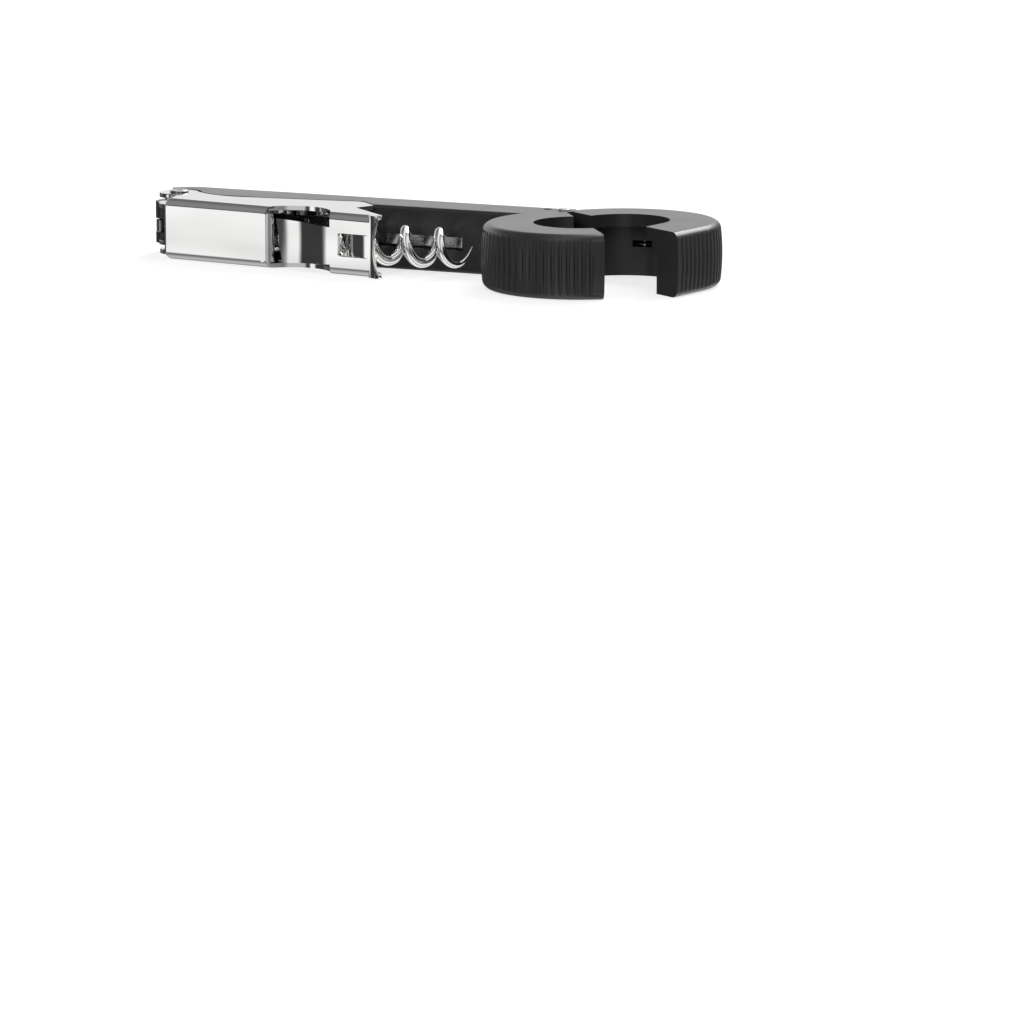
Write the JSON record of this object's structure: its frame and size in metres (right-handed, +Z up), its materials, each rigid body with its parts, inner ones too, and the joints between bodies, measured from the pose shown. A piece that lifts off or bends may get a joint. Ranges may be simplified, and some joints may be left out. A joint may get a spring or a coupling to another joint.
{
  "type": "waiter's corkscrew",
  "caption": "Folding waiter's corkscrew: moulded handle ending in a sprung foil-cutter ring, stamped boot lever with a stepped foot, and a right-handed folding worm.",
  "frame": {"origin": "on the flat underside of the handle, on its centre line, 46.75 mm from the jaw hinge and 47.55 mm from the lever pivot along the handle", "axes": "+X along the handle from the lever pivot to the ring, +Y out of the handle's plain back, +Z up along every hinge pin"},
  "size_m": [0.1419, 0.0521, 0.0149],
  "materials": {
    "handle_plastic": "satin black moulding",
    "plated_steel": "bright plated sheet",
    "worm_steel": "bright plated wire",
    "pin_steel": "turned",
    "spring_steel": "drawn",
    "blade_steel": "ground"
  },
  "bodies": {
    "handle": {"handle_body": "handle_plastic", "frame_plate_upper": "plated_steel", "frame_plate_lower": "plated_steel", "frame_rivet": "pin_steel", "lever_pivot_rivet": "pin_steel", "lever_washers": "pin_steel", "lever_spring": "spring_steel", "worm_pivot_pin": "pin_steel", "jaw_hinge_pin": "pin_steel", "jaw_spring": "spring_steel", "wheel_axle_1": "pin_steel", "wheel_axle_2": "pin_steel"},
    "lever": {"boot_lever": "plated_steel"},
    "screw": {"worm": "worm_steel"},
    "jaw": {"outer_jaw": "handle_plastic", "wheel_axle_3": "pin_steel", "wheel_axle_4": "pin_steel"},
    "wheel_1": {"cutting_wheel_1": "blade_steel"},
    "wheel_2": {"cutting_wheel_2": "blade_steel"},
    "wheel_3": {"cutting_wheel_3": "blade_steel"},
    "wheel_4": {"cutting_wheel_4": "blade_steel"}
  },
  "joints": [
    {"name": "lever_swing", "type": "hinge", "parent": "handle", "child": "lever", "pos_m": [-0.04755, -0.0046, 0.00725], "axis": [0, 0, -1], "range_deg": [0, 105]},
    {"name": "worm_swing", "type": "hinge", "parent": "handle", "child": "screw", "pos_m": [-0.024, -0.0128, 0.00725], "axis": [0, 0, -1], "range_deg": [0, 90]},
    {"name": "jaw_squeeze", "type": "hinge", "parent": "handle", "child": "jaw", "pos_m": [0.04675, 0.0035, 0.00725], "axis": [0, 0, -1], "range_deg": [0, 20], "stiffness_Nm_per_rad": 0.2, "springref_deg": -11.46, "deforming": ["jaw_spring"]},
    {"name": "wheel_1_spin", "type": "hinge", "parent": "handle", "child": "wheel_1", "pos_m": [0.04251, -0.01324, 0.00725], "axis": [0, 0, 1], "continuous": true},
    {"name": "wheel_2_spin", "type": "hinge", "parent": "handle", "child": "wheel_2", "pos_m": [0.05489, -0.02966, 0.00725], "axis": [0, 0, 1], "continuous": true},
    {"name": "wheel_3_spin", "type": "hinge", "parent": "jaw", "child": "wheel_3", "pos_m": [0.0812, -0.00083, 0.00725], "axis": [0, 0, 1], "continuous": true},
    {"name": "wheel_4_spin", "type": "hinge", "parent": "jaw", "child": "wheel_4", "pos_m": [0.06385, 0.01022, 0.00725], "axis": [0, 0, 1], "continuous": true}
  ],
  "couplings": [
    {"joint": "worm_swing", "follows": "lever_swing", "ratio": 0.857}
  ]
}
